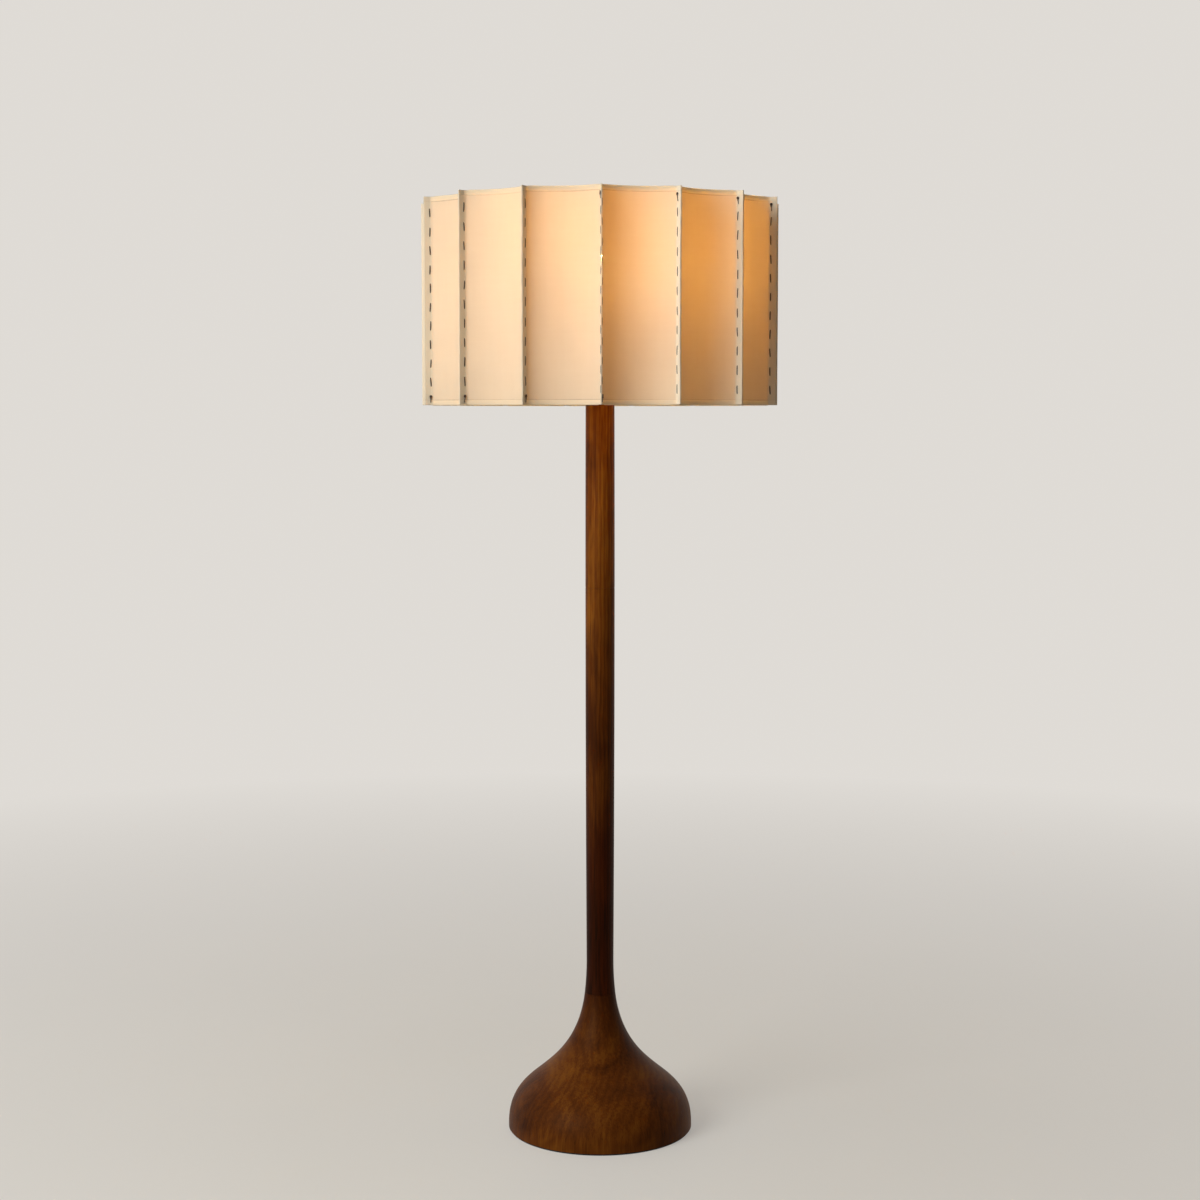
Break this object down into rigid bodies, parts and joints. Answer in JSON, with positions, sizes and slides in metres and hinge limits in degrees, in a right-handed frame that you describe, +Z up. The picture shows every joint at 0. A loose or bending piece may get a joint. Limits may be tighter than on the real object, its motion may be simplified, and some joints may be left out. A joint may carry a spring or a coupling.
{
  "type": "floor lamp",
  "caption": "Floor lamp with a turned wooden bell base and slender pole under a wide scalloped cloth shade, sewn at outward fins and carried by a harp.",
  "frame": {"origin": "on the floor under the axis of the pole", "axes": "+Z up along the pole, -Y towards the front, where the switch key points, and +X to the lamp's right as seen from the front"},
  "size_m": [0.581, 0.5782, 1.525],
  "materials": {
    "foot_felt": "matte",
    "base_wood": "satin",
    "pole_wood": "satin",
    "cast_weight": "matte",
    "plain_steel": "satin",
    "gland_plastic": "matte",
    "satin_brass": "satin",
    "liner_card": "matte",
    "contact_brass": "bright",
    "dark_plastic": "gloss",
    "opal_glass": "opal",
    "bulb_metal": "satin",
    "frame_paint": "satin",
    "shade_cloth": "matte",
    "lacing_cord": "matte"
  },
  "bodies": {
    "stand": {"base_pad": "foot_felt", "base_bell": "base_wood", "base_weight": "cast_weight", "weight_screws": "plain_steel", "base_washer": "plain_steel", "base_nut": "plain_steel", "cord_gland": "gland_plastic", "lower_pole": "pole_wood", "upper_pole": "pole_wood", "lower_pipe": "plain_steel", "pipe_coupling": "plain_steel", "upper_pipe": "plain_steel", "pole_cap": "satin_brass", "harp_saddle": "satin_brass", "saddle_nut": "plain_steel", "holder_riser": "satin_brass", "holder_cap": "satin_brass", "holder_shell": "satin_brass", "holder_liner": "liner_card", "holder_body": "dark_plastic", "screw_shell": "contact_brass", "centre_contact": "contact_brass", "harp": "satin_brass"},
    "shade": {"spider": "frame_paint", "top_ring": "frame_paint", "bottom_ring": "frame_paint", "seam_lacing": "lacing_cord", "shade_panel_01": "shade_cloth", "shade_panel_02": "shade_cloth", "shade_panel_03": "shade_cloth", "shade_panel_04": "shade_cloth", "shade_panel_05": "shade_cloth", "shade_panel_06": "shade_cloth", "shade_panel_07": "shade_cloth", "shade_panel_08": "shade_cloth", "shade_panel_09": "shade_cloth", "shade_panel_10": "shade_cloth", "shade_panel_11": "shade_cloth", "shade_panel_12": "shade_cloth", "shade_panel_13": "shade_cloth", "shade_panel_14": "shade_cloth", "shade_panel_15": "shade_cloth"},
    "bulb": {"bulb_glass": "opal_glass", "bulb_cap": "bulb_metal"},
    "switch": {"switch_key": "dark_plastic"},
    "finial": {"finial": "satin_brass"},
    "sleeve_left": {"harp_sleeve_left": "satin_brass"},
    "sleeve_right": {"harp_sleeve_right": "satin_brass"}
  },
  "joints": [
    {"name": "shade_turn", "type": "hinge", "parent": "stand", "child": "shade", "pos_m": [0, 0, 1.495], "axis": [0, 0, 1], "continuous": true},
    {"name": "bulb_turn", "type": "hinge", "parent": "stand", "child": "bulb", "pos_m": [0, 0, 1.332], "axis": [0, 0, 1], "continuous": true},
    {"name": "key_turn", "type": "hinge", "parent": "stand", "child": "switch", "pos_m": [0, -0.02, 1.321], "axis": [0, -1, 0], "continuous": true},
    {"name": "finial_turn", "type": "hinge", "parent": "stand", "child": "finial", "pos_m": [0, 0, 1.4972], "axis": [0, 0, 1], "continuous": true},
    {"name": "left_sleeve_lift", "type": "slide", "parent": "stand", "child": "sleeve_left", "axis": [0, 0, 1], "range_m": [0, 0.012]},
    {"name": "right_sleeve_lift", "type": "slide", "parent": "stand", "child": "sleeve_right", "axis": [0, 0, 1], "range_m": [0, 0.012]}
  ]
}
